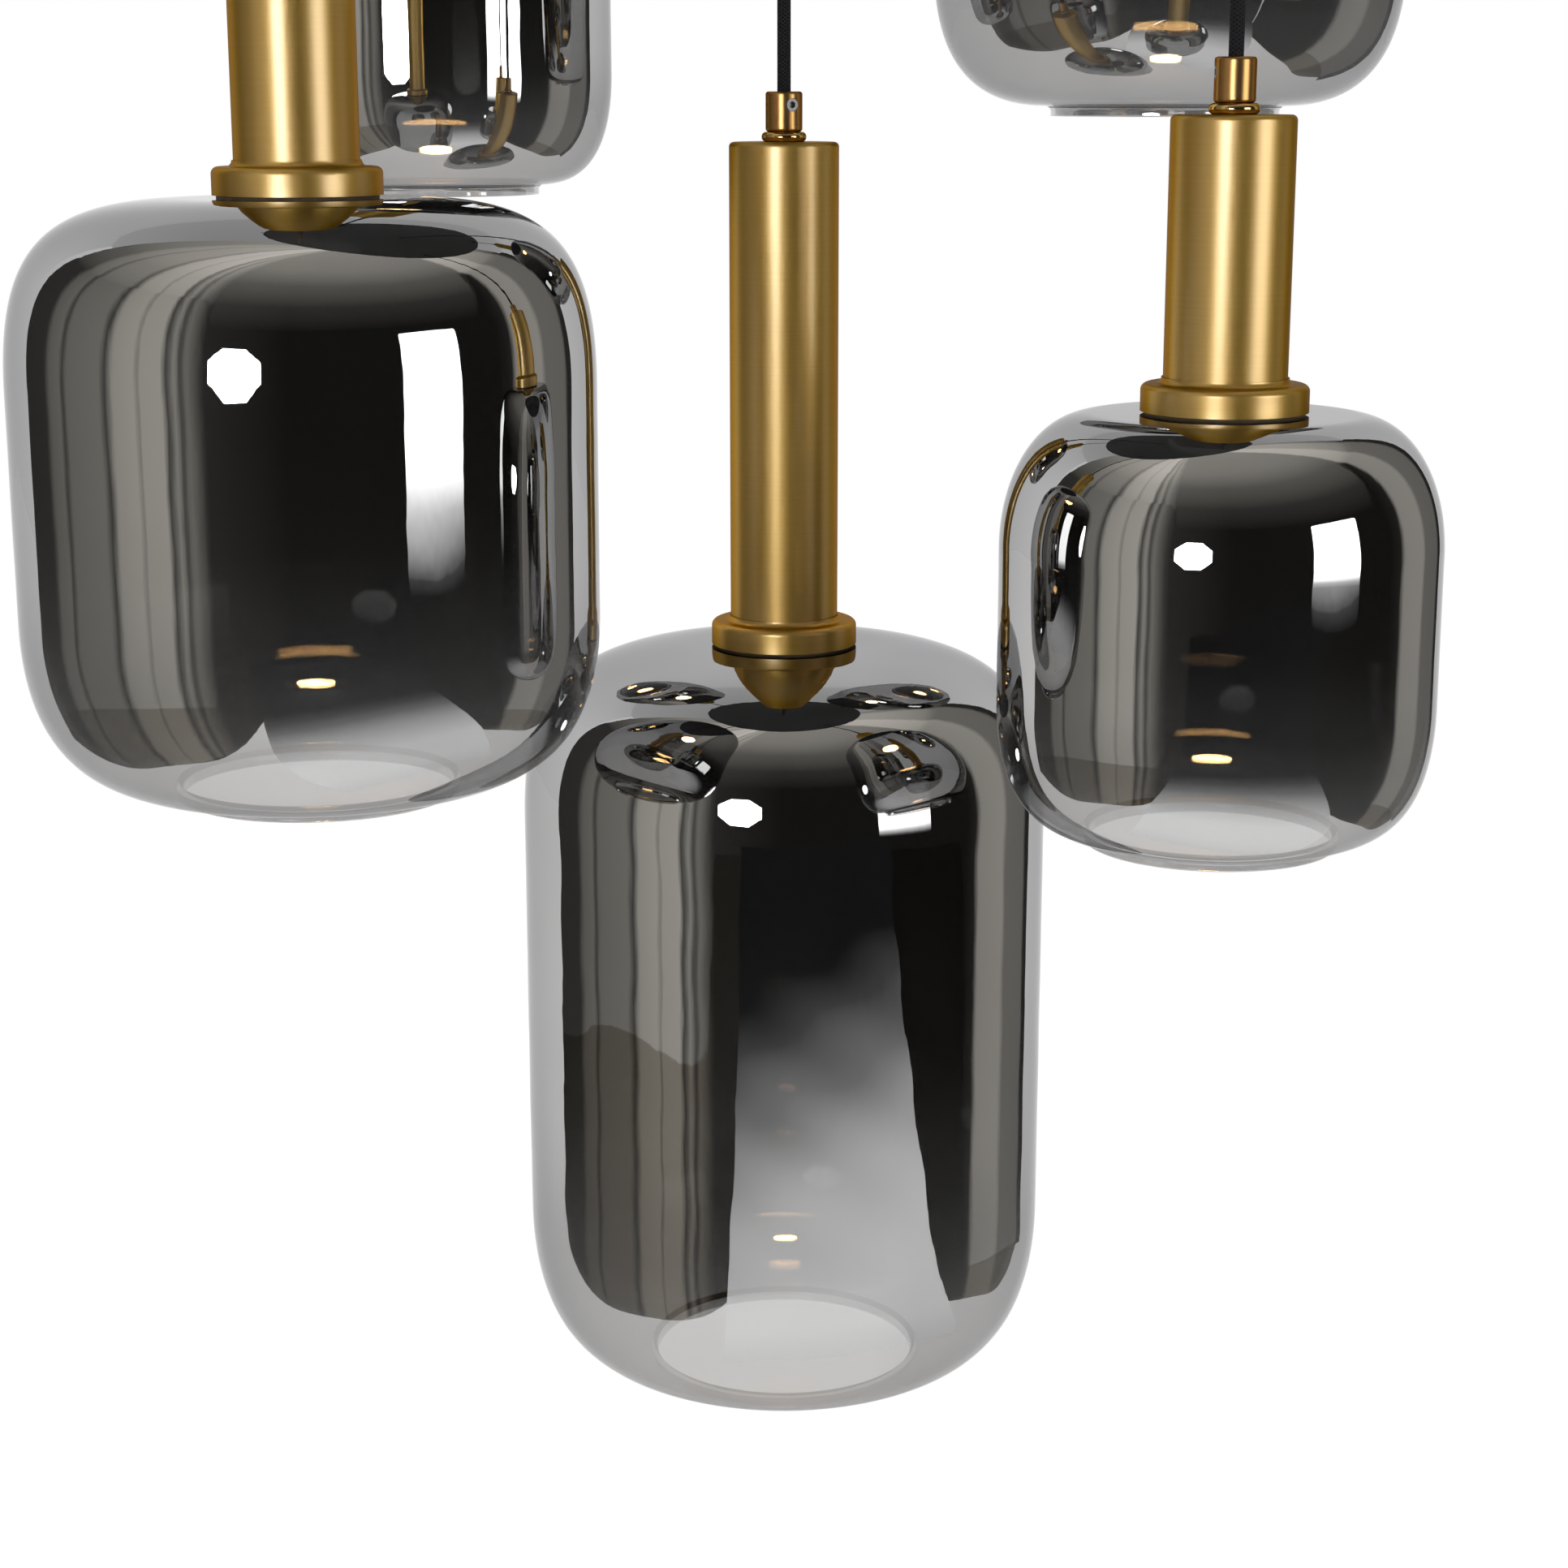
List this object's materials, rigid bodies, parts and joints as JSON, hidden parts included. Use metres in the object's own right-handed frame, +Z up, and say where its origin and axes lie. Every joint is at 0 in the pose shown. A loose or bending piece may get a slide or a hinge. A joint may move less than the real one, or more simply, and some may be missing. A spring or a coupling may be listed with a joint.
{
  "type": "cluster pendant light",
  "caption": "Cluster pendant light: smoked mirror-glass shades on brushed brass stems, hung at stepped heights by textile cords from a round ceiling canopy.",
  "frame": {"origin": "on the ceiling, at the canopy's axis", "axes": "+Z up; the picture looks along +Y with +X to the right"},
  "size_m": [0.5601, 0.52, 1.0095],
  "materials": {
    "brass_satin": "brushed round the axis",
    "brass_polished": "polished",
    "black_metal": "matt powder coat",
    "smoked_glass": "smoked mirror glass",
    "cord_fabric": "braided textile",
    "gasket": "matt",
    "ceramic": "glazed ceramic",
    "steel": "zinc plated",
    "lamp": "glass and white housing",
    "wiring": "plastic sheath"
  },
  "bodies": {
    "canopy": {"canopy_cover": "black_metal", "ceiling_bracket": "steel", "canopy_fasteners": "black_metal", "canopy_cord_grips": "black_metal", "canopy_wiring": "wiring"},
    "cord_left_front": {"cord_left_front": "cord_fabric"},
    "pendant_left_front": {"cord_grip_left_front": "brass_satin", "grip_screw_left_front": "steel", "grip_bead_left_front": "brass_polished", "tube_left_front": "brass_satin", "collar_left_front": "brass_satin", "shade_gasket_left_front": "gasket", "glass_shade_left_front": "smoked_glass", "shade_ring_left_front": "brass_satin", "lamp_holder_left_front": "ceramic"},
    "lamp_left_front": {"lamp_left_front": "lamp"},
    "cord_left_back": {"cord_left_back": "cord_fabric"},
    "pendant_left_back": {"cord_grip_left_back": "brass_satin", "grip_screw_left_back": "steel", "grip_bead_left_back": "brass_polished", "tube_left_back": "brass_satin", "collar_left_back": "brass_satin", "shade_gasket_left_back": "gasket", "glass_shade_left_back": "smoked_glass", "shade_ring_left_back": "brass_satin", "lamp_holder_left_back": "ceramic"},
    "lamp_left_back": {"lamp_left_back": "lamp"},
    "cord_centre": {"cord_centre": "cord_fabric"},
    "pendant_centre": {"cord_grip_centre": "brass_satin", "grip_screw_centre": "steel", "grip_bead_centre": "brass_polished", "tube_centre": "brass_satin", "collar_centre": "brass_satin", "shade_gasket_centre": "gasket", "glass_shade_centre": "smoked_glass", "shade_ring_centre": "brass_satin", "lamp_holder_centre": "ceramic"},
    "lamp_centre": {"lamp_centre": "lamp"},
    "cord_right_back": {"cord_right_back": "cord_fabric"},
    "pendant_right_back": {"cord_grip_right_back": "brass_satin", "grip_screw_right_back": "steel", "grip_bead_right_back": "brass_polished", "tube_right_back": "brass_satin", "collar_right_back": "brass_satin", "shade_gasket_right_back": "gasket", "glass_shade_right_back": "smoked_glass", "shade_ring_right_back": "brass_satin", "lamp_holder_right_back": "ceramic"},
    "lamp_right_back": {"lamp_right_back": "lamp"},
    "cord_right_front": {"cord_right_front": "cord_fabric"},
    "pendant_right_front": {"cord_grip_right_front": "brass_satin", "grip_screw_right_front": "steel", "grip_bead_right_front": "brass_polished", "tube_right_front": "brass_satin", "collar_right_front": "brass_satin", "shade_gasket_right_front": "gasket", "glass_shade_right_front": "smoked_glass", "shade_ring_right_front": "brass_satin", "lamp_holder_right_front": "ceramic"},
    "lamp_right_front": {"lamp_right_front": "lamp"}
  },
  "joints": [
    {"name": "cord_left_front_swing", "type": "hinge", "parent": "canopy", "child": "cord_left_front", "pos_m": [-0.17406, -0.15399, -0.045], "axis": [-0.6626, 0.749, 0], "range_deg": [-1, 12]},
    {"name": "pendant_left_front_twist", "type": "hinge", "parent": "cord_left_front", "child": "pendant_left_front", "pos_m": [-0.17406, -0.15399, -0.371], "axis": [0, 0, 1], "range_deg": [-180, 180]},
    {"name": "lamp_left_front_twist", "type": "hinge", "parent": "pendant_left_front", "child": "lamp_left_front", "pos_m": [-0.17406, -0.15399, -0.497], "axis": [0, 0, 1], "range_deg": [-20, 0]},
    {"name": "cord_left_back_swing", "type": "hinge", "parent": "canopy", "child": "cord_left_back", "pos_m": [-0.15996, 0.1561, -0.045], "axis": [0.6984, 0.7157, 0], "range_deg": [-1, 12]},
    {"name": "pendant_left_back_twist", "type": "hinge", "parent": "cord_left_back", "child": "pendant_left_back", "pos_m": [-0.15996, 0.1561, -0.22], "axis": [0, 0, 1], "range_deg": [-180, 180]},
    {"name": "lamp_left_back_twist", "type": "hinge", "parent": "pendant_left_back", "child": "lamp_left_back", "pos_m": [-0.15996, 0.1561, -0.346], "axis": [0, 0, 1], "range_deg": [-20, 0]},
    {"name": "cord_centre_swing", "type": "hinge", "parent": "canopy", "child": "cord_centre", "pos_m": [0, 0, -0.045], "axis": [1, 0, 0], "range_deg": [-3, 3]},
    {"name": "pendant_centre_twist", "type": "hinge", "parent": "cord_centre", "child": "pendant_centre", "pos_m": [0, 0, -0.46], "axis": [0, 0, 1], "range_deg": [-180, 180]},
    {"name": "lamp_centre_twist", "type": "hinge", "parent": "pendant_centre", "child": "lamp_centre", "pos_m": [0, 0, -0.688], "axis": [0, 0, 1], "range_deg": [-20, 0]},
    {"name": "cord_right_back_swing", "type": "hinge", "parent": "canopy", "child": "cord_right_back", "pos_m": [0.17406, 0.15399, -0.045], "axis": [0.6626, -0.749, 0], "range_deg": [-1, 12]},
    {"name": "pendant_right_back_twist", "type": "hinge", "parent": "cord_right_back", "child": "pendant_right_back", "pos_m": [0.17406, 0.15399, -0.127], "axis": [0, 0, 1], "range_deg": [-180, 180]},
    {"name": "lamp_right_back_twist", "type": "hinge", "parent": "pendant_right_back", "child": "lamp_right_back", "pos_m": [0.17406, 0.15399, -0.253], "axis": [0, 0, 1], "range_deg": [-20, 0]},
    {"name": "cord_right_front_swing", "type": "hinge", "parent": "canopy", "child": "cord_right_front", "pos_m": [0.15996, -0.1561, -0.045], "axis": [-0.6984, -0.7157, 0], "range_deg": [-1, 12]},
    {"name": "pendant_right_front_twist", "type": "hinge", "parent": "cord_right_front", "child": "pendant_right_front", "pos_m": [0.15996, -0.1561, -0.448], "axis": [0, 0, 1], "range_deg": [-180, 180]},
    {"name": "lamp_right_front_twist", "type": "hinge", "parent": "pendant_right_front", "child": "lamp_right_front", "pos_m": [0.15996, -0.1561, -0.574], "axis": [0, 0, 1], "range_deg": [-20, 0]}
  ]
}
